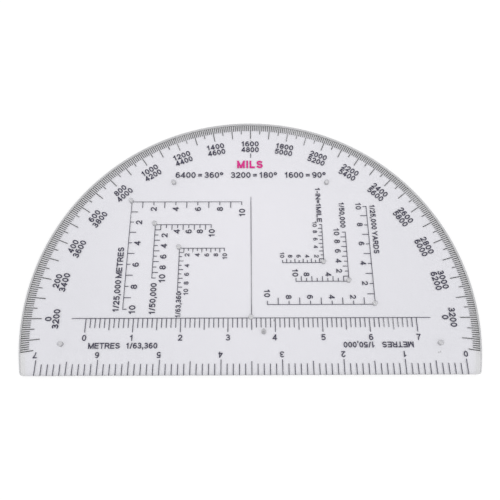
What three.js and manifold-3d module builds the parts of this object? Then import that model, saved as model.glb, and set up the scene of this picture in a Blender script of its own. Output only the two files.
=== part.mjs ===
// A semicircular map protractor: a clear plate with printed scales, sealed in by a thin clear sheet
// on its back.
// Millimetres. X runs along the ruling edge, Y towards the top of the arc, Z up through the sheets.
// The origin is below the middle of the outline, on the surface that the protractor lies on.

import * as THREE from 'three';
import { mergeVertices } from 'three/addons/utils/BufferGeometryUtils.js';
import Module from 'manifold-3d';

const wasm = await Module();
wasm.setup();

// Sheets
const ARC_RADIUS = 76.0;
const RULING_EDGE_DEPTH = 18.7;
const CORNER_RADIUS = 1.0;
const BACK_SHEET_THICKNESS = 0.25;
const FRONT_SHEET_THICKNESS = 1.2;
const INK_THICKNESS = 0.05;
const ARC_STEPS = 160;
const CORNER_STEPS = 8;

// Pencil holes, drilled a little high of the marks that they belong to
const HOLE_RADIUS = 0.85;
const HOLE_STEPS = 20;
const DRILL_OVERRUN = 0.5;
const DRILL_SHIFT_Y = 0.3;
// Holes that belong to no printed mark, as shares of the arc's radius
const LOOSE_HOLE_SHARES = [
  [-0.372, 0.67],
  [0.372, 0.67],
  [-0.821, -0.112],
  [0.821, -0.112],
  [0.055, -0.061],
];

// Print, a little to the right of the outline
const PRINT_SHIFT_X = 0.2;
const LINE_WIDTH = 0.21;
const TICK_WIDTH = 0.25;
const RING_BORDER_WIDTH = 0.12;
const EDGE_BORDER_WIDTH = 0.06;
const PRINT_MARGIN = 0.05;

// Graduation in mils round the arc, with its tick lengths measured inwards from the arc
const MILS_IN_CIRCLE = 6400;
const MILS_PER_TICK = 10;
const MILS_PER_MEDIUM_TICK = 50;
const MILS_PER_LONG_TICK = 100;
const MILS_BELOW_CENTRE = 150;
const RING_TICK_WIDTH = 0.26;
const RING_SHORT_TICK = 2.55;
const RING_MEDIUM_TICK = 3.95;
const RING_LONG_TICK = 5.95;

// Ground distances that the scales show, and the scales
const HUNDRED_METRES = 100000;
const HUNDRED_YARDS = 91440;
const SCALE_25K = 25000;
const SCALE_50K = 50000;
const SCALE_INCH_TO_MILE = 63360;
const DIVISIONS = 10;
const HALF_DIVISIONS = DIVISIONS / 2;

// Kilometre scale along the ruling edge
const EDGE_SCALE_MARGIN = 2.0;
const EDGE_SHORT_TICK = 3.6;
const EDGE_MEDIUM_TICK = 4.4;
const EDGE_LONG_TICK = 4.95;

// Base line through the centre, with the kilometre scale that hangs from it
const BASE_LINE_OVERHANG = 4.66;
const BASE_LINE_CLEARANCE = 9.5;
const INNER_SHORT_TICK = 3.2;
const INNER_MEDIUM_TICK = 3.95;
const INNER_LONG_TICK = 4.7;

// Index line above the centre, and the short tick below the room for the top numbers
const INDEX_LINE_TOP = 45.1;
const TOP_NUMBERS_ROOM = 6.6;
const INDEX_TICK_LENGTH = 1.9;

// Romers: the outer one of each side ends clear of the index line, and each smaller one has its
// corner stepped in from the last. Those on the right stand at uneven levels above the base line.
const METRE_ROMER_INDEX_GAP = 3.35;
const METRE_ROMER_BASE_GAP = 3.1;
const METRE_ROMER_STEP = 9.05;
const YARD_ROMER_INDEX_GAP = 5.4;
const YARD_ROMER_STEP = 8.3;
const YARD_ROMER_LEVELS = [4.58, 12.75, 19.55];
const ROMER_LONG_TICK = 2.4;
const ROMER_SHORT_TICK = 1.3;
const SMALL_ROMER_SHORT_SHARE = 0.65;

// Colours and finish
const SHEET_COLOUR = 0xe3e2e8;
const SHEET_OPACITY = 0.35;
const SHEET_ROUGHNESS = 0.15;
const INK_COLOUR = 0x312d47;
const INK_ROUGHNESS = 0.6;

// Levels and centres that the sizes above fix
const INK_LEVEL = BACK_SHEET_THICKNESS;
const FRONT_LEVEL = INK_LEVEL + INK_THICKNESS;
const ARC_CENTRE_Y = (RULING_EDGE_DEPTH - ARC_RADIUS) / 2;
const RING_OUTER_RADIUS = ARC_RADIUS - PRINT_MARGIN;
const SCALE_TOP_RADIUS = ARC_RADIUS - RING_LONG_TICK;

const inkMaterial = new THREE.MeshStandardMaterial({
  color: INK_COLOUR,
  roughness: INK_ROUGHNESS,
  metalness: 0,
});
const sheetMaterial = new THREE.MeshStandardMaterial({
  color: SHEET_COLOUR,
  roughness: SHEET_ROUGHNESS,
  metalness: 0,
  transparent: true,
  opacity: SHEET_OPACITY,
});

// Points along a circular arc, both ends included
function arcPoints(centre, radius, startAngle, endAngle, steps) {
  const points = [];
  for (let i = 0; i <= steps; i += 1) {
    const angle = startAngle + ((endAngle - startAngle) * i) / steps;
    const x = centre.x + radius * Math.cos(angle);
    const y = centre.y + radius * Math.sin(angle);
    points.push(new THREE.Vector2(x, y));
  }
  return points;
}

function circlePoints(centre, radius, steps) {
  return arcPoints(centre, radius, 0, 2 * Math.PI, steps).slice(0, steps);
}

// A flat solid with the given outline and holes, standing on a level
function flatSolid(outline, holes, level, thickness) {
  const shape = new THREE.Shape(outline);
  for (const hole of holes) {
    shape.holes.push(new THREE.Path(hole));
  }
  const geometry = new THREE.ExtrudeGeometry(shape, {
    depth: thickness,
    bevelEnabled: false,
    steps: 1,
  });
  geometry.translate(0, 0, level);
  return geometry;
}

function inkSolid(outline) {
  return flatSolid(outline, [], INK_LEVEL, INK_THICKNESS);
}

function toManifold(geometry) {
  const bare = geometry.clone();
  bare.deleteAttribute('normal');
  bare.deleteAttribute('uv');
  const merged = mergeVertices(bare);
  const mesh = new wasm.Mesh({
    numProp: 3,
    vertProperties: new Float32Array(merged.attributes.position.array),
    triVerts: new Uint32Array(merged.index.array),
  });
  return new wasm.Manifold(mesh);
}

function toGeometry(manifold) {
  const mesh = manifold.getMesh();
  const geometry = new THREE.BufferGeometry();
  geometry.setAttribute('position', new THREE.BufferAttribute(mesh.vertProperties, 3));
  geometry.setIndex(new THREE.BufferAttribute(mesh.triVerts, 1));
  geometry.computeVertexNormals();
  return geometry;
}

// A drill bit that passes through the ink with room to spare at both ends
function drillBit(centre) {
  const depth = INK_THICKNESS + 2 * DRILL_OVERRUN;
  const outline = circlePoints(centre, HOLE_RADIUS, HOLE_STEPS);
  return flatSolid(outline, [], INK_LEVEL - DRILL_OVERRUN, depth);
}

function drilled(geometry, holeCentre) {
  return toGeometry(toManifold(geometry).subtract(toManifold(drillBit(holeCentre))));
}

function joined(first, second) {
  return toGeometry(toManifold(first).add(toManifold(second)));
}

// Layout: places on the print, on the outline and in the drilling pattern
function printPlace(x, y) {
  return new THREE.Vector2(x + PRINT_SHIFT_X, y + ARC_CENTRE_Y);
}

function outlinePlace(x, y) {
  return new THREE.Vector2(x, y + ARC_CENTRE_Y);
}

function drillPlace(x, y) {
  return new THREE.Vector2(x, y + ARC_CENTRE_Y + DRILL_SHIFT_Y);
}

// Romer corners, worked out from where their arms end
const metreArm25k = (DIVISIONS * HUNDRED_METRES) / SCALE_25K;
const yardArm25k = (DIVISIONS * HUNDRED_YARDS) / SCALE_25K;
const metreCornerX = -(METRE_ROMER_INDEX_GAP + metreArm25k);
const metreCornerY = METRE_ROMER_BASE_GAP + metreArm25k;
const yardCornerX = YARD_ROMER_INDEX_GAP + yardArm25k;

function metreCorner(nest) {
  const step = nest * METRE_ROMER_STEP;
  return new THREE.Vector2(metreCornerX + step, metreCornerY - step);
}

function yardCorner(nest) {
  return new THREE.Vector2(yardCornerX - nest * YARD_ROMER_STEP, YARD_ROMER_LEVELS[nest]);
}

function romer(name, distance, scale, side, nest) {
  const corner = side < 0 ? metreCorner(nest) : yardCorner(nest);
  const division = distance / scale;
  const largest = nest === 0;
  return {
    name,
    side,
    largest,
    division,
    x: corner.x,
    y: corner.y,
    longTick: largest ? ROMER_LONG_TICK : division,
    shortTick: largest ? ROMER_SHORT_TICK : division * SMALL_ROMER_SHORT_SHARE,
  };
}

const romers = [
  romer('romer_25k_metres', HUNDRED_METRES, SCALE_25K, -1, 0),
  romer('romer_50k_metres', HUNDRED_METRES, SCALE_50K, -1, 1),
  romer('romer_63k_metres', HUNDRED_METRES, SCALE_INCH_TO_MILE, -1, 2),
  romer('romer_25k_yards', HUNDRED_YARDS, SCALE_25K, 1, 0),
  romer('romer_50k_yards', HUNDRED_YARDS, SCALE_50K, 1, 1),
  romer('romer_inch_mile_yards', HUNDRED_YARDS, SCALE_INCH_TO_MILE, 1, 2),
];

const centreHole = drillPlace(0, 0);
const looseHoles = LOOSE_HOLE_SHARES.map(([xShare, yShare]) => {
  return outlinePlace(xShare * ARC_RADIUS, yShare * ARC_RADIUS);
});
const romerHoles = romers.map((item) => drillPlace(item.x, item.y));
const holeCentres = [centreHole, ...romerHoles, ...looseHoles];

// Outline of both sheets: the arc, a rounded corner, the ruling edge and the other rounded corner
function sheetOutline() {
  const cornerY = CORNER_RADIUS - RULING_EDGE_DEPTH;
  const cornerX = Math.sqrt((ARC_RADIUS - CORNER_RADIUS) ** 2 - cornerY ** 2);
  const dip = Math.atan2(-cornerY, cornerX);
  const centre = outlinePlace(0, 0);
  const arc = arcPoints(centre, ARC_RADIUS, -dip, Math.PI + dip, ARC_STEPS);
  const leftCentre = outlinePlace(-cornerX, cornerY);
  const left = arcPoints(leftCentre, CORNER_RADIUS, Math.PI + dip, 1.5 * Math.PI, CORNER_STEPS);
  const rightCentre = outlinePlace(cornerX, cornerY);
  const right = arcPoints(rightCentre, CORNER_RADIUS, -0.5 * Math.PI, -dip, CORNER_STEPS);
  return [...arc, ...left.slice(1), ...right.slice(0, -1)];
}

function sheet(level, thickness) {
  const holes = holeCentres.map((centre) => circlePoints(centre, HOLE_RADIUS, HOLE_STEPS));
  return flatSolid(sheetOutline(), holes, level, thickness);
}

// How far a ray from the print's centre runs before it meets a circle round the outline's centre
function reachToCircle(angle, radius) {
  const across = PRINT_SHIFT_X * Math.cos(angle);
  const offset = PRINT_SHIFT_X * Math.sin(angle);
  return Math.sqrt(radius ** 2 - offset ** 2) - across;
}

function ringPlace(angle, reach, sideways) {
  const x = reach * Math.cos(angle) - sideways * Math.sin(angle);
  const y = reach * Math.sin(angle) + sideways * Math.cos(angle);
  return printPlace(x, y);
}

function ringTickLength(mils) {
  if (mils % MILS_PER_LONG_TICK === 0) {
    return RING_LONG_TICK;
  }
  return mils % MILS_PER_MEDIUM_TICK === 0 ? RING_MEDIUM_TICK : RING_SHORT_TICK;
}

// The mils graduation: a hairline border that follows the arc, with ticks standing inwards whose
// inner ends lie on circles round the print's own centre
function milsRing() {
  const halfWidth = RING_TICK_WIDTH / 2;
  const inner = [];
  const outer = [];
  const lastMils = MILS_IN_CIRCLE / 2 + MILS_BELOW_CENTRE;
  for (let mils = -MILS_BELOW_CENTRE; mils <= lastMils; mils += MILS_PER_TICK) {
    const angle = Math.PI - (mils * 2 * Math.PI) / MILS_IN_CIRCLE;
    const rim = reachToCircle(angle, RING_OUTER_RADIUS);
    const end = ARC_RADIUS - ringTickLength(mils);
    const first = mils === -MILS_BELOW_CENTRE;
    const last = mils + MILS_PER_TICK > lastMils;
    if (!first) {
      inner.push(ringPlace(angle, rim - RING_BORDER_WIDTH, halfWidth));
    }
    inner.push(ringPlace(angle, end, halfWidth));
    inner.push(ringPlace(angle, end, -halfWidth));
    if (!last) {
      inner.push(ringPlace(angle, rim - RING_BORDER_WIDTH, -halfWidth));
    }
    if (first) {
      outer.push(ringPlace(angle, rim, halfWidth));
    } else if (last) {
      outer.push(ringPlace(angle, rim, -halfWidth));
    } else if (mils % MILS_PER_MEDIUM_TICK === 0) {
      outer.push(ringPlace(angle, rim, 0));
    }
  }
  return inkSolid([...inner, ...outer.reverse()]);
}

// Outline of a straight line with ticks to one side, in its own frame: along the line, and out to
// the ticks' side. Each tick has a place along the line and a length from the line's middle.
// The line runs past its first and last ticks by the overhangs, and is flush with them at zero.
function combOutline(width, ticks, startOverhang, endOverhang) {
  const half = width / 2;
  const halfTick = TICK_WIDTH / 2;
  const corners = [];
  for (const tick of ticks) {
    corners.push([tick.at - halfTick, half]);
    corners.push([tick.at - halfTick, tick.length]);
    corners.push([tick.at + halfTick, tick.length]);
    corners.push([tick.at + halfTick, half]);
  }
  const start = corners[0][0] - startOverhang;
  const end = corners[corners.length - 1][0] + endOverhang;
  if (startOverhang > 0) {
    corners.unshift([start, half]);
  } else {
    corners.shift();
  }
  if (endOverhang > 0) {
    corners.push([end, half]);
  } else {
    corners.pop();
  }
  return [[start, -half], ...corners, [end, -half]];
}

// Ticks of a kilometre scale, centred on zero, one for each hundred metres
function scaleTicks(division, kilometres, shortTick, mediumTick, longTick) {
  const ticks = [];
  const count = kilometres * DIVISIONS;
  for (let i = 0; i <= count; i += 1) {
    let length = shortTick;
    if (i % DIVISIONS === 0) {
      length = longTick;
    } else if (i % HALF_DIVISIONS === 0) {
      length = mediumTick;
    }
    ticks.push({ at: (i - count / 2) * division, length });
  }
  return ticks;
}

function wholeKilometres(halfLength, division) {
  return Math.floor((2 * halfLength) / (division * DIVISIONS));
}

// The 1/50,000 scale, whose ticks stand on a hairline border along the ruling edge
function edgeScale() {
  const division = HUNDRED_METRES / SCALE_50K;
  const halfEdge = Math.sqrt(ARC_RADIUS ** 2 - RULING_EDGE_DEPTH ** 2);
  const room = halfEdge - CORNER_RADIUS - EDGE_SCALE_MARGIN;
  const kilometres = wholeKilometres(room, division);
  const ticks = scaleTicks(
    division,
    kilometres,
    EDGE_SHORT_TICK,
    EDGE_MEDIUM_TICK,
    EDGE_LONG_TICK,
  );
  const line = combOutline(EDGE_BORDER_WIDTH, ticks, 0, 0);
  const level = PRINT_MARGIN + EDGE_BORDER_WIDTH / 2 - RULING_EDGE_DEPTH;
  return inkSolid(line.map(([along, out]) => printPlace(along, level + out)));
}

// The base line and the 1/63,360 scale hang together, and the centre hole parts them into three
function innerScaleTicks() {
  const division = HUNDRED_METRES / SCALE_INCH_TO_MILE;
  const room = SCALE_TOP_RADIUS - BASE_LINE_CLEARANCE - BASE_LINE_OVERHANG;
  const kilometres = wholeKilometres(room, division);
  return scaleTicks(
    division,
    kilometres,
    INNER_SHORT_TICK,
    INNER_MEDIUM_TICK,
    INNER_LONG_TICK,
  );
}

function innerScaleHalf(side) {
  const ticks = innerScaleTicks()
    .filter((tick) => tick.at * side > 0)
    .map((tick) => ({ at: tick.at * side, length: tick.length }))
    .sort((first, second) => first.at - second.at);
  const innerEnd = ticks[0].at - TICK_WIDTH / 2;
  const line = combOutline(LINE_WIDTH, ticks, innerEnd, BASE_LINE_OVERHANG);
  const half = inkSolid(line.map(([along, out]) => printPlace(along * side, -out)));
  return drilled(half, centreHole);
}

// A line or tick on the print's middle axis
function middleLine(width, bottom, top) {
  const half = width / 2;
  return inkSolid([
    printPlace(-half, bottom),
    printPlace(half, bottom),
    printPlace(half, top),
    printPlace(-half, top),
  ]);
}

function innerScaleCentreTick() {
  const middle = innerScaleTicks().find((tick) => tick.at === 0);
  return drilled(middleLine(TICK_WIDTH, -middle.length, 0), centreHole);
}

function indexLine() {
  return drilled(middleLine(LINE_WIDTH, 0, INDEX_LINE_TOP), centreHole);
}

function indexTick() {
  const top = SCALE_TOP_RADIUS - TOP_NUMBERS_ROOM;
  return middleLine(TICK_WIDTH, top - INDEX_TICK_LENGTH, top);
}

// One arm of a romer in its own frame: ten divisions, every second tick short, and no tick at
// the corner itself
function romerArmOutline(item) {
  const ticks = [];
  for (let i = 1; i <= DIVISIONS; i += 1) {
    const length = i % 2 === 0 ? item.shortTick : item.longTick;
    ticks.push({ at: i * item.division, length });
  }
  return combOutline(LINE_WIDTH, ticks, item.division, 0);
}

// Both arms run away from the corner, with their ticks inside the angle that they make
function romerAcross(item) {
  const outline = romerArmOutline(item).map(([along, out]) => {
    return printPlace(item.x - item.side * along, item.y + item.side * out);
  });
  return inkSolid(outline);
}

function romerUpright(item) {
  const outline = romerArmOutline(item).map(([along, out]) => {
    return printPlace(item.x - item.side * out, item.y + item.side * along);
  });
  return inkSolid(outline);
}

const protractor = new THREE.Group();

function addPiece(name, geometry, material) {
  const mesh = new THREE.Mesh(geometry, material);
  mesh.name = name;
  protractor.add(mesh);
}

// The largest romer of each side loses its corner to the hole, so its arms are two films.
// In a smaller one the square at the first division still holds the arms together.
function addRomer(item, hole) {
  if (item.largest) {
    const upName = item.side < 0 ? 'down' : 'up';
    addPiece(`${item.name}_across`, drilled(romerAcross(item), hole), inkMaterial);
    addPiece(`${item.name}_${upName}`, drilled(romerUpright(item), hole), inkMaterial);
    return;
  }
  const both = joined(romerAcross(item), romerUpright(item));
  addPiece(item.name, drilled(both, hole), inkMaterial);
}

addPiece('back_sheet', sheet(0, BACK_SHEET_THICKNESS), sheetMaterial);
addPiece('front_sheet', sheet(FRONT_LEVEL, FRONT_SHEET_THICKNESS), sheetMaterial);
addPiece('mils_ring', milsRing(), inkMaterial);
addPiece('edge_scale', edgeScale(), inkMaterial);
addPiece('inner_scale_left', innerScaleHalf(-1), inkMaterial);
addPiece('inner_scale_right', innerScaleHalf(1), inkMaterial);
addPiece('inner_scale_centre_tick', innerScaleCentreTick(), inkMaterial);
addPiece('index_line', indexLine(), inkMaterial);
addPiece('index_tick', indexTick(), inkMaterial);
romers.forEach((item, i) => addRomer(item, romerHoles[i]));

export default protractor;
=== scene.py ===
# A clear map protractor lying on a white surface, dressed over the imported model.
# Metres. X runs along the ruling edge, Y towards the top of the arc, Z up through the sheets.

import math
from collections import namedtuple

import bmesh
import bpy
from mathutils import Matrix, Vector


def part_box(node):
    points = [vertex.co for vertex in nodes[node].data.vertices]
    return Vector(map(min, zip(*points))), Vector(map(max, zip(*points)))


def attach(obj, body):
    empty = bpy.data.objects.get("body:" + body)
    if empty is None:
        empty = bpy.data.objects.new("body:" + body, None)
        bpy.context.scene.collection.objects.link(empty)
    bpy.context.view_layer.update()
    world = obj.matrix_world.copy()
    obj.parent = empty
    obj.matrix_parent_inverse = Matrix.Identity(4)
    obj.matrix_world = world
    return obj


BODY = "root"
SHEETS = ("back_sheet", "front_sheet")
RING = "mils_ring"

# Sizes of the lettering
RING_NUMBER_HEIGHT = 2.22e-3
RING_DIGIT_PITCH = 1.7e-3
RING_DIGIT_GAP = 0.2e-3
EDGE_NUMBER_HEIGHT = 1.92e-3
NUMBER_HEIGHT = 2.0e-3
TALL_NUMBER_HEIGHT = 2.2e-3
SMALL_NUMBER_HEIGHT = 1.62e-3
LEAST_NUMBER_HEIGHT = 1.52e-3
LABEL_HEIGHT = 1.9e-3
TALL_LABEL_HEIGHT = 2.1e-3
SMALL_LABEL_HEIGHT = 1.78e-3
TITLE_HEIGHT = 2.4e-3
MILS_HEIGHT = 3.25e-3
STROKE_SHARE = 0.168
RING_STROKE_SHARE = 0.182
LABEL_STROKE_SHARE = 0.184
BOLD_STROKE_SHARE = 0.24
LETTER_GAP_SHARE = 0.12
WIDE_GAP_SHARE = 0.2
SPACE_SHARE = 0.16
ARC_STEP = math.radians(15)
LEAST_ARC_STEPS = 2
LEAST_MITRE_SHARE = 0.5
LETTER_CLEARANCE = 2.0e-6

# Places of the ring's numbers, from the print's centre
RING_OUTER_ROW = 67.71e-3
RING_INNER_ROW = 65.16e-3
RING_NUMBERS_SHIFT = -0.1e-3
RING_NUMBERS_RISE = -0.02e-3
RING_NUMBERS_TURN = math.radians(0.09)
MILS_IN_CIRCLE = 6400
MILS_PER_NUMBER = 200

# Places of the straight scales' numbers and labels

# Depths are below the base line, and outsets are from the middle. Two of the inner scale's numbers
# are set back from their ticks.
EDGE_RATIO = 50000
INNER_RATIO = 63360
SCALE_KILOMETRES = 7
INNER_NUMBERS_DEPTH = 6.5e-3
INNER_NUMBERS_SHIFT = 0.05e-3
INNER_NUMBERS_SET_BACK = {1: 0.2e-3, 4: 0.3e-3}
INNER_LABEL_DEPTH = 9.1e-3
INNER_METRES_OUTSET = 48.4e-3
INNER_RATIO_OUTSET = 36.05e-3
EDGE_NUMBERS_DEPTH = 12.1e-3
EDGE_NUMBERS_SHIFT = -0.19e-3
EDGE_NUMBERS_SPREAD_SHARE = 1.004
EDGE_LABEL_DEPTH = 9.0e-3
EDGE_METRES_OUTSET = 48.15e-3
EDGE_RATIO_OUTSET = 35.3e-3
METRES_LENGTH = 10.35e-3
RATIO_LENGTH = 10.2e-3

# Lines of text below the top numbers
MILS_RISE = 58.7e-3
MILS_SHIFT = -0.3e-3
MILS_LENGTH = 9.6e-3
TITLE_RISE = 54.2e-3
TITLE_LENGTH = 56.0e-3
TITLE = "6400 = 360°    3200 = 180°    1600 = 90°"

# A line of text, placed by its middle. Its length is left open where the letters keep their own
# width.
Line = namedtuple(
    "Line",
    "text height x y turn length weight gap",
    defaults=(None, STROKE_SHARE, LETTER_GAP_SHARE),
)

# Romers

# A romer has the nodes of both arms, its side of the print, its numbers and its label. The numbers
# across stand from the corner at shares of one division. The gaps run from an arm's line to the
# middle of its numbers. The label's outset is from the corner, and its two ends are heights above
# the base line.
Romer = namedtuple(
    "Romer",
    "across upright side number_height across_numbers across_place_shares upright_numbers "
    "across_gap ten_gap upright_gap label label_height label_outset label_low label_high",
)
METRES_SIDE = -1
YARDS_SIDE = 1
ROMER_DIVISIONS = 10
UPRIGHT_START = 0.14e-3
EVEN_NUMBERS = (2, 4, 6, 8, 10)
NUMBERS_FROM_FOUR = (4, 6, 8, 10)
ROMERS = [
    Romer(
        across="romer_25k_metres_across",
        upright="romer_25k_metres_down",
        side=METRES_SIDE,
        number_height=TALL_NUMBER_HEIGHT,
        across_numbers=EVEN_NUMBERS,
        across_place_shares=(2.01, 4.01, 6.03, 8.02, 10.03),
        upright_numbers=EVEN_NUMBERS,
        across_gap=2.87e-3,
        ten_gap=4.33e-3,
        upright_gap=3.14e-3,
        label="1/25,000 METRES",
        label_height=TALL_LABEL_HEIGHT,
        label_outset=2.39e-3,
        label_low=2.25e-3,
        label_high=25.4e-3,
    ),
    Romer(
        across="romer_50k_metres",
        upright="romer_50k_metres",
        side=METRES_SIDE,
        number_height=TALL_NUMBER_HEIGHT,
        across_numbers=NUMBERS_FROM_FOUR,
        across_place_shares=(3.88, 6.0, 8.0, 10.13),
        upright_numbers=EVEN_NUMBERS,
        across_gap=2.62e-3,
        ten_gap=3.25e-3,
        upright_gap=3.5e-3,
        label="1/50,000",
        label_height=TALL_LABEL_HEIGHT,
        label_outset=-0.8e-3,
        label_low=1.35e-3,
        label_high=12.25e-3,
    ),
    Romer(
        across="romer_63k_metres",
        upright="romer_63k_metres",
        side=METRES_SIDE,
        number_height=SMALL_NUMBER_HEIGHT,
        across_numbers=EVEN_NUMBERS,
        across_place_shares=(1.73, 4.0, 6.11, 8.13, 10.12),
        upright_numbers=NUMBERS_FROM_FOUR,
        across_gap=2.5e-3,
        ten_gap=3.0e-3,
        upright_gap=2.85e-3,
        label="1/63,360",
        label_height=SMALL_LABEL_HEIGHT,
        label_outset=-0.48e-3,
        label_low=0.25e-3,
        label_high=9.0e-3,
    ),
    Romer(
        across="romer_25k_yards_across",
        upright="romer_25k_yards_up",
        side=YARDS_SIDE,
        number_height=NUMBER_HEIGHT,
        across_numbers=EVEN_NUMBERS,
        across_place_shares=(2.01, 4.0, 6.03, 8.02, 10.02),
        upright_numbers=EVEN_NUMBERS,
        across_gap=2.62e-3,
        ten_gap=3.92e-3,
        upright_gap=2.85e-3,
        label="1/25,000 YARDS",
        label_height=LABEL_HEIGHT,
        label_outset=2.22e-3,
        label_low=22.9e-3,
        label_high=41.8e-3,
    ),
    Romer(
        across="romer_50k_yards",
        upright="romer_50k_yards",
        side=YARDS_SIDE,
        number_height=NUMBER_HEIGHT,
        across_numbers=(4, 8, 10),
        across_place_shares=(3.84, 7.97, 10.1),
        upright_numbers=EVEN_NUMBERS,
        across_gap=2.52e-3,
        ten_gap=3.08e-3,
        upright_gap=3.16e-3,
        label="1/50,000",
        label_height=LABEL_HEIGHT,
        label_outset=-0.67e-3,
        label_low=32.8e-3,
        label_high=42.8e-3,
    ),
    Romer(
        across="romer_inch_mile_yards",
        upright="romer_inch_mile_yards",
        side=YARDS_SIDE,
        number_height=LEAST_NUMBER_HEIGHT,
        across_numbers=EVEN_NUMBERS,
        across_place_shares=(1.69, 3.98, 6.08, 8.11, 10.08),
        upright_numbers=NUMBERS_FROM_FOUR,
        across_gap=2.39e-3,
        ten_gap=2.84e-3,
        upright_gap=2.55e-3,
        label="1-IN=1MILE",
        label_height=SMALL_LABEL_HEIGHT,
        label_outset=-0.75e-3,
        label_low=35.0e-3,
        label_high=48.8e-3,
    ),
]

# Camera, placed from the print's centre
CAMERA_LENS_MM = 35.334
CAMERA_SENSOR_MM = 36.0
CAMERA_OFFSET = Vector((-1.86e-3, -36.096e-3, 161.836e-3))
CAMERA_TILT = math.radians(20.4615)
CAMERA_ROLL = math.radians(-0.4058)
CAMERA_TURN = math.radians(-0.2694)

# Stage and light
FLOOR_HALF_SIZE = 3.0
FLOOR_GAP = 4.0e-5
FLOOR_COLOUR = (0.8, 0.8, 0.8, 1.0)
FLOOR_GLOW = 0.24
WORLD_COLOUR = (1.0, 1.0, 1.0, 1.0)
WORLD_STRENGTH = 0.68
WORLD_SEEN_STRENGTH = 1.0
SUN_HEIGHT = 0.5
KEY_STRENGTH = 0.9
KEY_TURN = math.radians(-40)
KEY_ELEVATION = math.radians(50)
KEY_SPREAD = math.radians(22)
FILL_STRENGTH = 0.5
FILL_TURN = math.radians(-140)
FILL_ELEVATION = math.radians(45)
FILL_SPREAD = math.radians(40)

# Finish of the printing ink

# Each ink has its darkest and its palest shade.
DARK_INK_SHADES = ((0.006, 0.003, 0.030, 1.0), (0.012, 0.008, 0.048, 1.0))
RING_INK_SHADES = ((0.012, 0.012, 0.016, 1.0), (0.022, 0.022, 0.027, 1.0))
MAGENTA_INK_SHADES = ((0.73, 0.0, 0.23, 1.0), (0.83, 0.0, 0.29, 1.0))
INK_GRAIN_SCALE = 2500.0
INK_GRAIN_DETAIL = 2.0
INK_GRAIN_SHARE = 0.5
INK_PATCH_SCALE = 160.0
INK_PATCH_DETAIL = 3.0
INK_ROUGHNESS = 0.55
INK_BUMP = 0.15
INK_BUMP_DISTANCE = 5.0e-6

# Finish of the sheets

# A tint is the share of light that passes one outer face. Its paler middle, round a place above
# the base line, is painted light. The greyer band along the arc and the fine line inside it are
# painted shade of the edge. A surface whose normal rises less than the wall limit is a wall, and
# the walls' darker tints are painted shade that stands in for the light the cut walls bend away.
PAINTED_LIGHT_TINT = (0.945, 0.942, 0.957, 1.0)
OUTER_TINT = (0.921, 0.920, 0.935, 1.0)
RIM_SHADE_TINT = (0.922, 0.923, 0.926, 1.0)
WALL_SHADE_TINT = (0.665, 0.663, 0.675, 1.0)
HOLE_WALL_SHADE_TINT = (0.76, 0.757, 0.775, 1.0)
WALL_LIMIT = 0.5
SPECK_TINT = (0.70, 0.70, 0.70, 1.0)
PAINTED_LIGHT_RISE = 36.0e-3
PAINTED_LIGHT_REACH = 85.0e-3
RIM_SHADE_WIDTH = 2.6e-3
EDGE_SHADOW_INSET = 1.05e-3
EDGE_SHADOW_WIDTH = 0.25e-3
EDGE_SHADOW_TINT = (0.90, 0.90, 0.90, 1.0)
TINT_PATCH_SCALE = 35.0
TINT_PATCH_DETAIL = 3.0
TINT_PATCH_SHARE = 0.35
SPECK_GRID_SCALE = 130.0
SPECK_SIZE_SHARE = 0.035
SPECK_COMMON_SHARE = 0.02
SHEET_REFLECTED_SHARE = 0.03
GLANCING_POWER = 5.0
SHEET_ROUGHNESS = 0.05
SCRATCH_ROUGHNESS = 0.22
SCRATCH_SCALE = 60.0
SCRATCH_DETAIL = 2.0
SCRATCH_STRETCH = 40.0
SCRATCH_TURN = math.radians(24)
SCRATCH_RARITY = 0.66
WAVE_SCALE = 70.0
WAVE_DETAIL = 1.0
WAVE_DISTANCE = 4.0e-6

# Painted shade in the pencil holes

# Corners further inside the outline than the margin belong to holes, and those nearer each other
# than the hole search to one hole. A thin dark film in the holes is painted shade. The darkest hole
# is the one below the base line, which gets the most of it.
OUTLINE_MARGIN = 3.0e-3
HOLE_SEARCH = 3.0e-3
HOLE_SHADE_STEPS = 32
HOLE_SHADE_OUTER_SHARE = 0.97
HOLE_SHADE_INNER_SHARE = 0.1
HOLE_SHADE_HEIGHT = 0.12e-3
HOLE_SHADE_CLEARANCE = 0.01e-3
HOLE_SHADE_SHARE = 0.11
DARK_HOLE_SHIFT = 3.98e-3
DARK_HOLE_DEPTH = 4.64e-3
DARK_HOLE_REACH = 1.15e-3
DARK_HOLE_SHADE_SHARE = 0.27
HOLE_SHADE_GRAIN_SCALE = 4000.0
HOLE_SHADE_GRAIN_DETAIL = 3.0
NOISE_MEAN = 0.5
HOLE_SHADE_DARK = (0.05, 0.05, 0.07, 1.0)
HOLE_SHADE_PALE = (0.14, 0.14, 0.19, 1.0)
HOLE_SHADE_ROUGHNESS = 0.6

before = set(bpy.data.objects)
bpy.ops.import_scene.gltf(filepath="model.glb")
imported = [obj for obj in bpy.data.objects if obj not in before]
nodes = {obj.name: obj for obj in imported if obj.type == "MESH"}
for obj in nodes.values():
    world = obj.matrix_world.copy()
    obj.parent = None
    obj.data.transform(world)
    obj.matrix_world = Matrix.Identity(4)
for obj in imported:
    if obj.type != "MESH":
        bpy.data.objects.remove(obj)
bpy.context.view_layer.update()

# The print's own frame, read from its lines
index_low, index_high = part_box("index_line")
_, base_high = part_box("inner_scale_left")
LINE_WIDTH = index_high.x - index_low.x
tick_low, tick_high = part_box("index_tick")
TICK_WIDTH = tick_high.x - tick_low.x
INK_LOW = index_low.z
INK_HIGH = index_high.z
PRINT_CENTRE = Vector((
    (index_low.x + index_high.x) / 2,
    base_high.y - LINE_WIDTH / 2,
    INK_HIGH,
))

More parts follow.
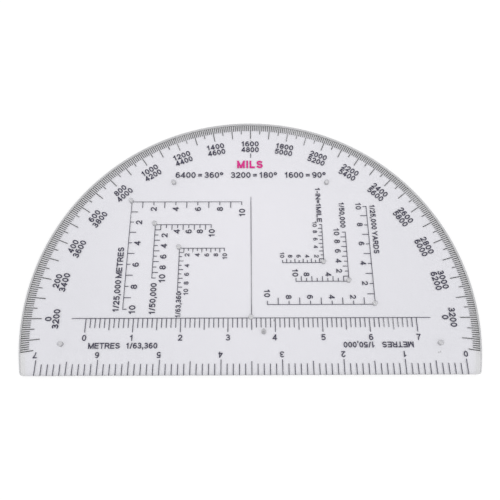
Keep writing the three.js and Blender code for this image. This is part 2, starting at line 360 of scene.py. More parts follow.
# The arc of the outline, read from the back sheet's box, which is as wide as the whole circle
OUTLINE_LOW, OUTLINE_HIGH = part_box("back_sheet")
ARC_RADIUS = (OUTLINE_HIGH.x - OUTLINE_LOW.x) / 2
ARC_CENTRE = Vector((0, OUTLINE_HIGH.y - ARC_RADIUS, 0))


# Strokes of the letters

def sweep(x, y, across, up, start, end):
    """Points of an elliptic arc about (x, y), from one angle to another in degrees."""
    first = math.radians(start)
    last = math.radians(end)
    steps = max(LEAST_ARC_STEPS, math.ceil(abs(last - first) / ARC_STEP))
    angles = [first + (last - first) * i / steps for i in range(steps + 1)]
    return [(x + across * math.cos(a), y + up * math.sin(a)) for a in angles]


def loop(x, y, across, up):
    return ("loop", sweep(x, y, across, up, 0, 360)[:-1])


def path(*points):
    return ("path", list(points))


def slant(x0, y0, x1, y1):
    return ("slant", [(x0, y0), (x1, y1)])


# Each letter's width as a share of its height, and its strokes in a unit box that the pen's middle
# line keeps to
GLYPH_SHARES = {
    "0": (0.70, [loop(0.5, 0.5, 0.5, 0.5)]),
    "1": (0.54, [path((0.64, 0), (0.64, 1)), path((0.06, 0.76), (0.4, 0.84), (0.64, 1))]),
    "2": (0.70, [
        path(*sweep(0.5, 0.7, 0.48, 0.3, 165, -35), (0, 0)),
        path((0, 0), (1, 0)),
    ]),
    "3": (0.70, [
        path(*sweep(0.47, 0.75, 0.43, 0.25, 145, -90), (0.38, 0.5)),
        path((0.38, 0.5), *sweep(0.47, 0.25, 0.53, 0.25, 90, -145)),
    ]),
    "4": (0.74, [
        path((0.74, 0), (0.74, 1)),
        path((0, 0.25), (1, 0.25)),
        slant(0, 0.25, 0.7, 1),
    ]),
    "5": (0.70, [
        path((0.14, 1), (0.94, 1)),
        path((0.14, 1), (0.06, 0.52)),
        path((0.06, 0.52), *sweep(0.46, 0.32, 0.54, 0.32, 115, -135)),
    ]),
    "6": (0.70, [
        loop(0.5, 0.3, 0.5, 0.3),
        path(*sweep(0.54, 0.52, 0.54, 0.48, 62, 180), (0, 0.32)),
    ]),
    "7": (0.70, [path((0, 1), (1, 1)), path((1, 1), (0.55, 0.5), (0.33, 0))]),
    "8": (0.70, [loop(0.5, 0.75, 0.43, 0.25), loop(0.5, 0.27, 0.5, 0.27)]),
    "9": (0.70, [
        loop(0.5, 0.7, 0.5, 0.3),
        path(*sweep(0.46, 0.48, 0.54, 0.48, -118, 0), (1, 0.68)),
    ]),
    "A": (0.92, [slant(0, 0, 0.5, 1), slant(0.5, 1, 1, 0), path((0.2, 0.3), (0.8, 0.3))]),
    "D": (0.86, [
        path((0, 0), (0, 1)),
        path((0, 1), (0.4, 1), *sweep(0.4, 0.5, 0.6, 0.5, 80, -80), (0.4, 0), (0, 0)),
    ]),
    "E": (0.76, [
        path((0, 0), (0, 1)),
        path((0, 1), (1, 1)),
        path((0, 0.52), (0.92, 0.52)),
        path((0, 0), (1, 0)),
    ]),
    "I": (0.22, [path((0.5, 0), (0.5, 1))]),
    "L": (0.70, [path((0, 0), (0, 1)), path((0, 0), (1, 0))]),
    "M": (1.0, [
        path((0, 0), (0, 1)),
        path((1, 0), (1, 1)),
        slant(0, 1, 0.5, 0),
        slant(0.5, 0, 1, 1),
    ]),
    "N": (0.86, [path((0, 0), (0, 1)), path((1, 0), (1, 1)), slant(0, 1, 1, 0)]),
    "R": (0.86, [
        path((0, 0), (0, 1)),
        path((0, 1), (0.6, 1), *sweep(0.62, 0.74, 0.34, 0.26, 80, -80), (0.6, 0.48), (0, 0.48)),
        slant(0.6, 0.48, 1, 0),
    ]),
    "S": (0.82, [
        path(
            *sweep(0.5, 0.75, 0.46, 0.25, 35, 230),
            *sweep(0.5, 0.26, 0.5, 0.26, 50, -145),
        ),
    ]),
    "T": (0.82, [path((0, 1), (1, 1)), path((0.5, 0), (0.5, 1))]),
    "Y": (0.90, [slant(0, 1, 0.5, 0.42), slant(0.5, 0.42, 1, 1), path((0.5, 0), (0.5, 0.45))]),
    "/": (0.42, [slant(0, 0, 1, 1)]),
    ",": (0.24, [slant(0.1, -0.2, 0.6, 0.06)]),
    "-": (0.42, [path((0, 0.38), (1, 0.38))]),
    "=": (0.62, [path((0, 0.3), (1, 0.3)), path((0, 0.62), (1, 0.62))]),
    "°": (0.52, [loop(0.5, 0.78, 0.5, 0.22)]),
}


def offset_sides(points, half, closed):
    """The two sides of a pen stroke along the points, with square ends and mitred corners."""
    points = [Vector(p) for p in points]
    if not closed:
        head = (points[0] - points[1]).normalized()
        tail = (points[-1] - points[-2]).normalized()
        points[0] = points[0] + head * half
        points[-1] = points[-1] + tail * half
    count = len(points)
    left = []
    right = []
    for i, point in enumerate(points):
        before = points[i - 1] if closed or i > 0 else None
        after = points[(i + 1) % count] if closed or i < count - 1 else None
        along_in = (point - before).normalized() if before is not None else None
        along_out = (after - point).normalized() if after is not None else None
        along = (along_in or Vector((0, 0))) + (along_out or Vector((0, 0)))
        normal = Vector((-along.y, along.x)).normalized()
        step = along_in or along_out
        square = Vector((-step.y, step.x))
        reach = half / max(normal.dot(square), LEAST_MITRE_SHARE)
        left.append(point + normal * reach)
        right.append(point - normal * reach)
    return left, right


def slant_sides(points, half):
    """The two sides of a straight stroke whose ends are cut level."""
    low, high = [Vector(p) for p in points]
    along = (high - low).normalized()
    reach = Vector((half / abs(along.y), 0))
    rise = Vector((along.x, along.y)) * half / abs(along.y)
    low = low - rise
    high = high + rise
    return [low - reach, high - reach], [low + reach, high + reach]


def stroke_object(kind, points, half, collection):
    """A closed solid one unit thick in the shape of one pen stroke."""
    closed = kind == "loop"
    if kind == "slant":
        left, right = slant_sides(points, half)
    else:
        left, right = offset_sides(points, half, closed)
    shape = bmesh.new()
    levels = []
    for z in (0, 1):
        for side in (left, right):
            levels.append([shape.verts.new((p.x, p.y, z)) for p in side])
    low_left, low_right, high_left, high_right = levels
    count = len(left)
    for i in range(count if closed else count - 1):
        j = (i + 1) % count
        shape.faces.new((low_left[i], low_left[j], low_right[j], low_right[i]))
        shape.faces.new((high_left[j], high_left[i], high_right[i], high_right[j]))
        shape.faces.new((low_left[j], low_left[i], high_left[i], high_left[j]))
        shape.faces.new((low_right[i], low_right[j], high_right[j], high_right[i]))
    if not closed:
        for end in (0, -1):
            shape.faces.new((low_left[end], low_right[end], high_right[end], high_left[end]))
    bmesh.ops.recalc_face_normals(shape, faces=shape.faces)
    mesh = bpy.data.meshes.new("stroke")
    shape.to_mesh(mesh)
    shape.free()
    stroke = bpy.data.objects.new("stroke", mesh)
    collection.objects.link(stroke)
    return stroke


def glyph_mesh(character, weight):
    """Corners and faces of one character, one unit high and one unit thick."""
    width, strokes = GLYPH_SHARES[character]
    half = weight / 2
    bench = bpy.data.collections.new("bench")
    bpy.context.scene.collection.children.link(bench)
    made = []
    for kind, points in strokes:
        placed = [(half + x * (width - weight), half + y * (1 - weight)) for x, y in points]
        made.append(stroke_object(kind, placed, half, bench))
    for other in made[1:]:
        join = made[0].modifiers.new("join", "BOOLEAN")
        join.operation = "UNION"
        join.solver = "EXACT"
        join.object = other
    graph = bpy.context.evaluated_depsgraph_get()
    joined = bpy.data.meshes.new_from_object(made[0].evaluated_get(graph))
    corners = [Vector(v.co) for v in joined.vertices]
    faces = [tuple(f.vertices) for f in joined.polygons]
    for stroke in made:
        bpy.data.meshes.remove(stroke.data)
    bpy.data.collections.remove(bench)
    bpy.data.meshes.remove(joined)
    return corners, faces


glyph_store = {}


def glyph(character, weight):
    """Corners and faces of a character, made only once for each weight of its strokes."""
    if (character, weight) not in glyph_store:
        glyph_store[character, weight] = glyph_mesh(character, weight)
    return glyph_store[character, weight]


def width_share(character):
    return SPACE_SHARE if character == " " else GLYPH_SHARES[character][0]


def stretch(line):
    """How much wider or narrower the letters of a line are set, so that it has its length."""
    if line.length is None:
        return 1
    shares = sum(width_share(c) for c in line.text) + line.gap * (len(line.text) - 1)
    return line.length / (shares * line.height)


def new_piece(name, mesh, finish):
    piece = bpy.data.objects.new(name, mesh)
    bpy.context.scene.collection.objects.link(piece)
    mesh.materials.append(finish)
    return piece


def lettering(name, lines, finish):
    """One piece that holds several lines of text as thin solids in the ink layer."""
    corners = []
    faces = []
    low = INK_LOW + LETTER_CLEARANCE
    depth = INK_HIGH - INK_LOW - 2 * LETTER_CLEARANCE
    for line in lines:
        wide = line.height * stretch(line)
        widths = [width_share(c) * wide for c in line.text]
        gap = line.gap * wide
        pen = -(sum(widths) + gap * (len(widths) - 1)) / 2
        place = Matrix.Translation((PRINT_CENTRE.x + line.x, PRINT_CENTRE.y + line.y, low))
        place = place @ Matrix.Rotation(line.turn, 4, "Z")
        for character, width in zip(line.text, widths):
            if character != " ":
                size = Matrix.Diagonal((wide, line.height, depth, 1))
                shift = Matrix.Translation((pen, -line.height / 2, 0))
                shape, polygons = glyph(character, line.weight)
                start = len(corners)
                corners.extend(place @ shift @ size @ corner for corner in shape)
                faces.extend(tuple(start + i for i in polygon) for polygon in polygons)
            pen += width + gap
    mesh = bpy.data.meshes.new(name)
    mesh.from_pydata(corners, [], faces)
    mesh.validate()
    piece = new_piece(name, mesh, finish)
    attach(piece, BODY)


# Materials

def new_material(name):
    material = bpy.data.materials.new(name)
    material.use_nodes = True
    tree = material.node_tree
    tree.nodes.clear()
    return material, tree


def add_node(tree, kind, **settings):
    node = tree.nodes.new(kind)
    for key, value in settings.items():
        setattr(node, key, value)
    return node


def add_math(tree, operation, *values):
    node = add_node(tree, "ShaderNodeMath", operation=operation)
    for socket, value in zip(node.inputs, values):
        if isinstance(value, (int, float)):
            socket.default_value = value
        else:
            tree.links.new(value, socket)
    return node.outputs[0]


def add_vector_math(tree, operation, first, second):
    node = add_node(tree, "ShaderNodeVectorMath", operation=operation)
    tree.links.new(first, node.inputs[0])
    if second is not None:
        node.inputs[1].default_value = second
    return node


def mix_shaders(tree, share, first, second):
    node = add_node(tree, "ShaderNodeMixShader")
    tree.links.new(share, node.inputs[0])
    tree.links.new(first, node.inputs[1])
    tree.links.new(second, node.inputs[2])
    return node.outputs[0]


def mix_colours(tree, share, first, second):
    """The first colour where share is zero, the second where it is one. Either may be a node's."""
    node = add_node(tree, "ShaderNodeMix", data_type="RGBA")
    tree.links.new(share, node.inputs[0])
    colours = [socket for socket in node.inputs if socket.type == "RGBA"]
    for socket, colour in zip(colours, (first, second)):
        if isinstance(colour, tuple):
            socket.default_value = colour
        else:
            tree.links.new(colour, socket)
    return [socket for socket in node.outputs if socket.type == "RGBA"][0]


def ramp(tree, value, start, end):
    """A smooth step from zero at start to one at end."""
    node = add_node(tree, "ShaderNodeMapRange", interpolation_type="SMOOTHSTEP")
    tree.links.new(value, node.inputs["Value"])
    node.inputs["From Min"].default_value = start
    node.inputs["From Max"].default_value = end
    return node.outputs["Result"]


def own_place(tree):
    """The shaded point's place in the object's own space."""
    return add_node(tree, "ShaderNodeTexCoord").outputs["Object"]


def mottle(tree, scale, detail, place=None):
    """Smooth noise in the object's own space."""
    noise = add_node(tree, "ShaderNodeTexNoise")
    noise.inputs["Scale"].default_value = scale
    noise.inputs["Detail"].default_value = detail
    tree.links.new(place or own_place(tree), noise.inputs["Vector"])
    return noise.outputs["Fac"]


def distance_from(tree, x, y):
    """The shaded point's distance from an upright axis."""
    offset = add_vector_math(tree, "SUBTRACT", own_place(tree), (x, y, 0))
    flat = add_vector_math(tree, "MULTIPLY", offset.outputs[0], (1, 1, 0))
    return add_vector_math(tree, "LENGTH", flat.outputs[0], None).outputs["Value"]


def ink(name, dark, pale):
    """Screen-printed ink, slightly uneven in its cover."""
    material, tree = new_material(name)
    output = add_node(tree, "ShaderNodeOutputMaterial")
    surface = add_node(tree, "ShaderNodeBsdfPrincipled")
    surface.inputs["Roughness"].default_value = INK_ROUGHNESS
    grain = mottle(tree, INK_GRAIN_SCALE, INK_GRAIN_DETAIL)
    patches = mottle(tree, INK_PATCH_SCALE, INK_PATCH_DETAIL)
    fine = add_math(tree, "MULTIPLY", grain, INK_GRAIN_SHARE)
    cover = add_math(tree, "MULTIPLY_ADD", patches, 1 - INK_GRAIN_SHARE, fine)
    tree.links.new(mix_colours(tree, cover, dark, pale), surface.inputs["Base Color"])
    bump = add_node(tree, "ShaderNodeBump")
    bump.inputs["Strength"].default_value = INK_BUMP
    bump.inputs["Distance"].default_value = INK_BUMP_DISTANCE
    tree.links.new(grain, bump.inputs["Height"])
    tree.links.new(bump.outputs["Normal"], surface.inputs["Normal"])
    tree.links.new(surface.outputs[0], output.inputs["Surface"])
    return material


def sheet_masks(tree):
    """Where a sheet has a wall rather than a face, and where a face lies against the ink layer."""
    normal = add_node(tree, "ShaderNodeSeparateXYZ")
    tree.links.new(add_node(tree, "ShaderNodeTexCoord").outputs["Normal"], normal.inputs[0])
    position = add_node(tree, "ShaderNodeSeparateXYZ")
    tree.links.new(own_place(tree), position.inputs[0])
    flatness = add_math(tree, "ABSOLUTE", normal.outputs["Z"])
    is_wall = add_math(tree, "LESS_THAN", flatness, WALL_LIMIT)
    is_face = add_math(tree, "SUBTRACT", 1.0, is_wall)
    height = add_math(tree, "SUBTRACT", position.outputs["Z"], (INK_LOW + INK_HIGH) / 2)
    near_ink = add_math(tree, "LESS_THAN", add_math(tree, "ABSOLUTE", height), INK_HIGH - INK_LOW)
    return is_wall, add_math(tree, "MULTIPLY", near_ink, is_face)


def specks(tree):
    """One over a few small specks, and zero elsewhere."""
    grid = add_node(tree, "ShaderNodeTexVoronoi", voronoi_dimensions="2D")
    grid.inputs["Scale"].default_value = SPECK_GRID_SCALE
    tree.links.new(own_place(tree), grid.inputs["Vector"])
    near = add_math(tree, "LESS_THAN", grid.outputs["Distance"], SPECK_SIZE_SHARE)
    chance = add_node(tree, "ShaderNodeSeparateColor")
    tree.links.new(grid.outputs["Color"], chance.inputs[0])
    rare = add_math(tree, "LESS_THAN", chance.outputs[0], SPECK_COMMON_SHARE)
    return add_math(tree, "MULTIPLY", near, rare)


def rim_line(tree, out):
    """One along a fine painted shadow line of the edge inside the arc, and zero elsewhere."""
    off = add_math(tree, "ABSOLUTE", add_math(tree, "SUBTRACT", out, ARC_RADIUS - EDGE_SHADOW_INSET))
    return ramp(tree, off, EDGE_SHADOW_WIDTH, EDGE_SHADOW_WIDTH / 2)


def inside_outline(tree, out):
    """One where a wall belongs to a pencil hole, and zero along the outline."""
    place = add_node(tree, "ShaderNodeSeparateXYZ")
    tree.links.new(own_place(tree), place.inputs[0])
    in_arc = add_math(tree, "LESS_THAN", out, ARC_RADIUS - OUTLINE_MARGIN)
    above_edge = add_math(tree, "GREATER_THAN", place.outputs["Y"], OUTLINE_LOW.y + OUTLINE_MARGIN)
    return add_math(tree, "MULTIPLY", in_arc, above_edge)


def sheet_tint(tree, is_wall):
    """Colour of the light that passes an outer face or a wall, with painted light and painted
    shade.
    """
    patches = mottle(tree, TINT_PATCH_SCALE, TINT_PATCH_DETAIL)
    uneven = add_math(tree, "MULTIPLY_ADD", patches, TINT_PATCH_SHARE, -TINT_PATCH_SHARE / 2)
    # Painted light: the sheet passes more light round a place above the base line, so its middle
    # reads brighter.
    from_painted_centre = distance_from(tree, PRINT_CENTRE.x, PRINT_CENTRE.y + PAINTED_LIGHT_RISE)
    share = add_math(tree, "ADD", ramp(tree, from_painted_centre, 0.0, PAINTED_LIGHT_REACH), uneven)
    tint = mix_colours(tree, share, PAINTED_LIGHT_TINT, OUTER_TINT)
    out = distance_from(tree, ARC_CENTRE.x, ARC_CENTRE.y)
    # Painted shade: a greyer band inside the arc stands in for the shade of the edge.
    painted_rim_shade = ramp(tree, out, ARC_RADIUS - RIM_SHADE_WIDTH, ARC_RADIUS)
    tint = mix_colours(tree, painted_rim_shade, tint, RIM_SHADE_TINT)
    # Painted shadow: a fine darker line inside the arc, where the edge casts its shadow on what
    # lies below.
    tint = mix_colours(tree, rim_line(tree, out), tint, EDGE_SHADOW_TINT)
    tint = mix_colours(tree, specks(tree), tint, SPECK_TINT)
    # Painted shade: the walls pass less light, standing in for the light that cut walls bend away,
    # in the wall seen and in its shadow.
    wall_shade = mix_colours(tree, inside_outline(tree, out), WALL_SHADE_TINT, HOLE_WALL_SHADE_TINT)
    return mix_colours(tree, is_wall, tint, wall_shade)


def scratches(tree):
    """Fine streaks that run one way across the sheet, from zero to one."""
    turned = add_node(tree, "ShaderNodeMapping")
    turned.inputs["Rotation"].default_value = (0, 0, SCRATCH_TURN)
    turned.inputs["Scale"].default_value = (1, SCRATCH_STRETCH, 1)
    tree.links.new(own_place(tree), turned.inputs["Vector"])
    streaks = mottle(tree, SCRATCH_SCALE, SCRATCH_DETAIL, turned.outputs[0])
    return ramp(tree, streaks, SCRATCH_RARITY, 1.0)


def sheet_gloss(tree):
    """The shine of the sheet's surface, a little wavy and finely scratched."""
    gloss = add_node(tree, "ShaderNodeBsdfGlossy")
    rise = SCRATCH_ROUGHNESS - SHEET_ROUGHNESS
    roughness = add_math(tree, "MULTIPLY_ADD", scratches(tree), rise, SHEET_ROUGHNESS)
    tree.links.new(roughness, gloss.inputs["Roughness"])
    wave = add_node(tree, "ShaderNodeBump")
    wave.inputs["Distance"].default_value = WAVE_DISTANCE
    tree.links.new(mottle(tree, WAVE_SCALE, WAVE_DETAIL), wave.inputs["Height"])
    tree.links.new(wave.outputs["Normal"], gloss.inputs["Normal"])
    return gloss.outputs[0]


def clear_plastic(name):
    """Clear sheet: tinted where light passes its outer faces, clear where the sheets meet."""
    material, tree = new_material(name)
    output = add_node(tree, "ShaderNodeOutputMaterial")
    is_wall, is_inner = sheet_masks(tree)
    facing = add_node(tree, "ShaderNodeLayerWeight")
    glancing = add_math(tree, "POWER", facing.outputs["Facing"], GLANCING_POWER)
    rise = 1.0 - SHEET_REFLECTED_SHARE
    shine = add_math(tree, "MULTIPLY_ADD", glancing, rise, SHEET_REFLECTED_SHARE)
    tinted = add_node(tree, "ShaderNodeBsdfTransparent")
    tree.links.new(sheet_tint(tree, is_wall), tinted.inputs["Color"])
    outer = mix_shaders(tree, shine, tinted.outputs[0], sheet_gloss(tree))
    clear = add_node(tree, "ShaderNodeBsdfTransparent")
    whole = mix_shaders(tree, is_inner, outer, clear.outputs[0])
    tree.links.new(whole, output.inputs["Surface"])
    return material


def dust_cover(tree, grain):
    """The share of painted shade in the holes: uneven, and most in the darkest hole."""
    from_painted_centre = distance_from(tree, PRINT_CENTRE.x + DARK_HOLE_SHIFT, PRINT_CENTRE.y - DARK_HOLE_DEPTH)
    dark_hole = ramp(tree, from_painted_centre, DARK_HOLE_REACH, 0.0)
    rise = DARK_HOLE_SHADE_SHARE - HOLE_SHADE_SHARE
    mean = add_math(tree, "MULTIPLY_ADD", dark_hole, rise, HOLE_SHADE_SHARE)
    uneven = add_math(tree, "DIVIDE", grain, NOISE_MEAN)
    return add_math(tree, "MULTIPLY", uneven, mean)


def graphite(name):
    """Painted shade in the holes: a dark film, thin enough to show what is under it."""
    material, tree = new_material(name)
    output = add_node(tree, "ShaderNodeOutputMaterial")
    dark_film = add_node(tree, "ShaderNodeBsdfPrincipled")
    dark_film.inputs["Roughness"].default_value = HOLE_SHADE_ROUGHNESS
    grain = mottle(tree, HOLE_SHADE_GRAIN_SCALE, HOLE_SHADE_GRAIN_DETAIL)
    shade = mix_colours(tree, grain, HOLE_SHADE_DARK, HOLE_SHADE_PALE)
    tree.links.new(shade, dark_film.inputs["Base Color"])
    bare = add_node(tree, "ShaderNodeBsdfTransparent")
    whole = mix_shaders(tree, dust_cover(tree, grain), bare.outputs[0], dark_film.outputs[0])
    tree.links.new(whole, output.inputs["Surface"])
    return material


dark_ink = ink("dark_ink", *DARK_INK_SHADES)
ring_ink = ink("ring_ink", *RING_INK_SHADES)
magenta_ink = ink("magenta_ink", *MAGENTA_INK_SHADES)
sheet_finish = clear_plastic("clear_sheet")
# The holes' thin dark film is painted shade.
painted_hole_shade = graphite("painted_hole_shade")

for name, part in nodes.items():
    part.data.materials.clear()
    if name in SHEETS:
        part.data.materials.append(sheet_finish)
    elif name == RING:
        part.data.materials.append(ring_ink)
    else:
        part.data.materials.append(dark_ink)


# Numbers and words of the print, placed from its centre

def ring_lines():
    """Both rows of the ring's numbers. The inner row has those of the opposite half circle."""
    lines = []
    half = MILS_IN_CIRCLE // 2
    for mils in range(0, half + 1, MILS_PER_NUMBER):
        angle = math.pi - mils * 2 * math.pi / MILS_IN_CIRCLE + RING_NUMBERS_TURN
        opposite = (mils + half) % MILS_IN_CIRCLE
        for row, value in ((RING_OUTER_ROW, mils), (RING_INNER_ROW, opposite)):
            text = str(value)
            x = row * math.cos(angle) + RING_NUMBERS_SHIFT
            y = row * math.sin(angle) + RING_NUMBERS_RISE
            length = RING_DIGIT_PITCH * len(text) - RING_DIGIT_GAP
            turn = angle - math.pi / 2
            lines.append(Line(text, RING_NUMBER_HEIGHT, x, y, turn, length, RING_STROKE_SHARE))
    return lines


def edge_kilometre():
    """The length of one kilometre on the scale along the ruling edge."""
    low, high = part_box("edge_scale")
    return (high.x - low.x - TICK_WIDTH) / SCALE_KILOMETRES


def inner_number_lines():
    kilometre = edge_kilometre() * EDGE_RATIO / INNER_RATIO
    lines = []
    for number in range(SCALE_KILOMETRES + 1):
        x = (number - SCALE_KILOMETRES / 2) * kilometre + INNER_NUMBERS_SHIFT
        x -= INNER_NUMBERS_SET_BACK.get(number, 0)
        lines.append(Line(str(number), NUMBER_HEIGHT, x, -INNER_NUMBERS_DEPTH, 0))
    return lines


def edge_number_lines():
    """The edge scale's numbers, which stand on their heads and run from right to left."""
    kilometre = edge_kilometre() * EDGE_NUMBERS_SPREAD_SHARE
    lines = []
    for number in range(SCALE_KILOMETRES + 1):
        x = (SCALE_KILOMETRES / 2 - number) * kilometre + EDGE_NUMBERS_SHIFT
        lines.append(Line(str(number), EDGE_NUMBER_HEIGHT, x, -EDGE_NUMBERS_DEPTH, math.pi))
    return lines


def scale_label_lines():
    metres = ("METRES", METRES_LENGTH)
    inner_ratio = (f"1/{INNER_RATIO:,}", RATIO_LENGTH)
    edge_ratio = (f"1/{EDGE_RATIO:,}", RATIO_LENGTH)
    places = [
        (metres, -INNER_METRES_OUTSET, -INNER_LABEL_DEPTH, 0),
        (inner_ratio, -INNER_RATIO_OUTSET, -INNER_LABEL_DEPTH, 0),
        (metres, EDGE_METRES_OUTSET, -EDGE_LABEL_DEPTH, math.pi),
        (edge_ratio, EDGE_RATIO_OUTSET, -EDGE_LABEL_DEPTH, math.pi),
    ]
    return [
        Line(text, LABEL_HEIGHT, x, y, turn, length, LABEL_STROKE_SHARE)
        for (text, length), x, y, turn in places
    ]


def romer_corner(romer):
    """The corner of a romer and the length of one division, from the boxes of its arms."""
    across_low, across_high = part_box(romer.across)
    upright_low, upright_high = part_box(romer.upright)
    half_line = LINE_WIDTH / 2
    half_tick = TICK_WIDTH / 2
    if romer.side == METRES_SIDE:
        x = upright_low.x + half_line
        y = across_high.y - half_line
        end = across_high.x - half_tick
    else:
        x = upright_high.x - half_line
        y = across_low.y + half_line
        end = across_low.x + half_tick
    return x - PRINT_CENTRE.x, y - PRINT_CENTRE.y, abs(end - x) / ROMER_DIVISIONS


def romer_number_lines(romer):
    x, y, division = romer_corner(romer)
    turn = -romer.side * math.pi / 2
    lines = []
    for number, share in zip(romer.across_numbers, romer.across_place_shares):
        gap = romer.ten_gap if number == ROMER_DIVISIONS else romer.across_gap
        across = x - romer.side * share * division
        lines.append(Line(str(number), romer.number_height, across, y + romer.side * gap, turn))
    for number in romer.upright_numbers:
        rise = y + romer.side * (number * division + UPRIGHT_START)
        across = x - romer.side * romer.upright_gap
        lines.append(Line(str(number), romer.number_height, across, rise, turn))
    return lines


def romer_label_line(romer):
    x, _, _ = romer_corner(romer)
    across = x + romer.side * romer.label_outset
    rise = (romer.label_low + romer.label_high) / 2
    length = romer.label_high - romer.label_low
    turn = -romer.side * math.pi / 2
    height = romer.label_height
    return Line(romer.label, height, across, rise, turn, length, LABEL_STROKE_SHARE)


romer_numbers = [line for romer in ROMERS for line in romer_number_lines(romer)]
romer_labels = [romer_label_line(romer) for romer in ROMERS]
title = Line(TITLE, TITLE_HEIGHT, x=0, y=TITLE_RISE, turn=0, length=TITLE_LENGTH)
unit_word = Line(
    "MILS",
    MILS_HEIGHT,
    x=MILS_SHIFT,
    y=MILS_RISE,
    turn=0,
    length=MILS_LENGTH,
    weight=BOLD_STROKE_SHARE,
    gap=WIDE_GAP_SHARE,
)
lettering("ring_numbers", ring_lines(), dark_ink)
lettering("inner_scale_numbers", inner_number_lines(), dark_ink)
lettering("edge_scale_numbers", edge_number_lines(), dark_ink)
lettering("scale_labels", scale_label_lines(), dark_ink)
lettering("romer_numbers", romer_numbers, dark_ink)
lettering("romer_labels", romer_labels, dark_ink)
lettering("conversion_line", [title], dark_ink)
lettering("mils_label", [unit_word], magenta_ink)


# Painted shade in the pencil holes

def hole_boxes():
    """The lowest and highest corners of each pencil hole, from the front sheet's own corners."""
    sheet = nodes["front_sheet"].data
    reach = ARC_RADIUS - OUTLINE_MARGIN
    lowest = OUTLINE_LOW.y + OUTLINE_MARGIN
    groups = []
    for corner in sheet.vertices:
        place = corner.co.to_2d()
        if (place - ARC_CENTRE.to_2d()).length > reach or place.y < lowest:
            continue
        near = [group for group in groups if (group[0] - place).length < HOLE_SEARCH]
        if near:
            near[0].append(place)
        else:
            groups.append([place])
    boxes = []
    for group in groups:
        low = Vector((min(p.x for p in group), min(p.y for p in group)))
        high = Vector((max(p.x for p in group), max(p.y for p in group)))
        boxes.append((low, high))
    return boxes


def dust_ring(shape, centre, radius):
    """A ring that slopes up to the wall of a hole, added to the shape."""
    outer = radius * HOLE_SHADE_OUTER_SHARE
    inner = radius * HOLE_SHADE_INNER_SHARE
    low = HOLE_SHADE_CLEARANCE
    profile = [(inner, low), (outer, low), (outer, low + HOLE_SHADE_HEIGHT)]
    rings = []
    for reach, level in profile:
        ring = []
        for i in range(HOLE_SHADE_STEPS):
            angle = 2 * math.pi * i / HOLE_SHADE_STEPS
            x = centre.x + reach * math.cos(angle)
            y = centre.y + reach * math.sin(angle)
            ring.append(shape.verts.new((x, y, level)))
        rings.append(ring)
    for k, ring in enumerate(rings):
        other = rings[(k + 1) % len(rings)]
        for i in range(HOLE_SHADE_STEPS):
            j = (i + 1) % HOLE_SHADE_STEPS
            shape.faces.new((ring[i], ring[j], other[j], other[i]))


def pencil_dust(name, finish):
    """One piece that holds the painted shade of all holes."""
    shape = bmesh.new()
    for low, high in hole_boxes():
        dust_ring(shape, (low + high) / 2, (high.y - low.y) / 2)
    bmesh.ops.recalc_face_normals(shape, faces=shape.faces)
    mesh = bpy.data.meshes.new(name)
    shape.to_mesh(mesh)
    shape.free()
    piece = new_piece(name, mesh, finish)
    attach(piece, BODY)


pencil_dust("pencil_dust", painted_hole_shade)


# Stage, light and camera

def seen_share(tree):
    """One for camera, glossy and transmission rays, and zero for the light on the object."""
    light = add_node(tree, "ShaderNodeLightPath")
    seen = add_math(tree, "MAXIMUM", light.outputs["Is Camera Ray"], light.outputs["Is Glossy Ray"])
    return add_math(tree, "MAXIMUM", seen, light.outputs["Is Transmission Ray"])


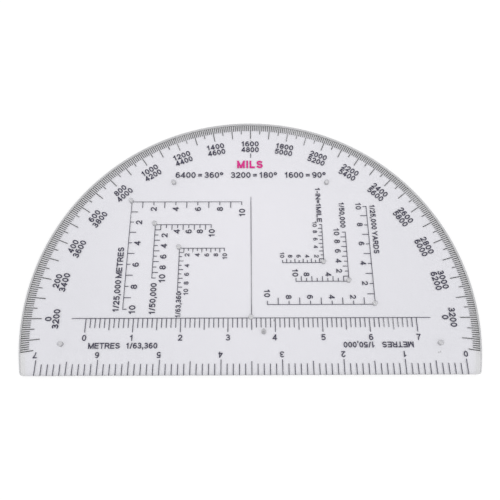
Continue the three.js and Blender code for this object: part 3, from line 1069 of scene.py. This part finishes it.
def white_floor():
    material, tree = new_material("white_floor")
    output = add_node(tree, "ShaderNodeOutputMaterial")
    paper = add_node(tree, "ShaderNodeBsdfDiffuse")
    paper.inputs["Color"].default_value = FLOOR_COLOUR
    glow = add_node(tree, "ShaderNodeEmission")
    strength = add_math(tree, "MULTIPLY", seen_share(tree), FLOOR_GLOW)
    tree.links.new(strength, glow.inputs["Strength"])
    both = add_node(tree, "ShaderNodeAddShader")
    tree.links.new(paper.outputs[0], both.inputs[0])
    tree.links.new(glow.outputs[0], both.inputs[1])
    tree.links.new(both.outputs[0], output.inputs["Surface"])
    bpy.ops.mesh.primitive_plane_add(size=2 * FLOOR_HALF_SIZE, location=(0, 0, -FLOOR_GAP))
    floor = bpy.context.object
    floor.name = "floor"
    floor.data.materials.append(material)


def white_world():
    world = bpy.data.worlds.new("studio")
    world.use_nodes = True
    tree = world.node_tree
    tree.nodes.clear()
    output = add_node(tree, "ShaderNodeOutputWorld")
    background = add_node(tree, "ShaderNodeBackground")
    background.inputs["Color"].default_value = WORLD_COLOUR
    rise = WORLD_SEEN_STRENGTH - WORLD_STRENGTH
    strength = add_math(tree, "MULTIPLY_ADD", seen_share(tree), rise, WORLD_STRENGTH)
    tree.links.new(strength, background.inputs["Strength"])
    tree.links.new(background.outputs[0], output.inputs["Surface"])
    bpy.context.scene.world = world


def soft_sun(name, strength, turn, elevation, spread):
    data = bpy.data.lights.new(name, "SUN")
    data.energy = strength
    data.angle = spread
    lamp = bpy.data.objects.new(name, data)
    towards = Vector((
        math.cos(elevation) * math.cos(turn),
        math.cos(elevation) * math.sin(turn),
        math.sin(elevation),
    ))
    lamp.rotation_euler = towards.to_track_quat("Z", "Y").to_euler()
    lamp.location = towards * SUN_HEIGHT
    bpy.context.scene.collection.objects.link(lamp)


def photo_camera():
    data = bpy.data.cameras.new("photo_camera")
    data.lens = CAMERA_LENS_MM
    data.sensor_width = CAMERA_SENSOR_MM
    camera = bpy.data.objects.new("photo_camera", data)
    camera.location = PRINT_CENTRE + CAMERA_OFFSET
    camera.rotation_euler = (CAMERA_TILT, CAMERA_ROLL, CAMERA_TURN)
    bpy.context.scene.collection.objects.link(camera)
    bpy.context.scene.camera = camera


white_floor()
white_world()
soft_sun("key_sun", KEY_STRENGTH, KEY_TURN, KEY_ELEVATION, KEY_SPREAD)
soft_sun("fill_sun", FILL_STRENGTH, FILL_TURN, FILL_ELEVATION, FILL_SPREAD)
photo_camera()
bpy.context.scene.view_settings.view_transform = "Standard"
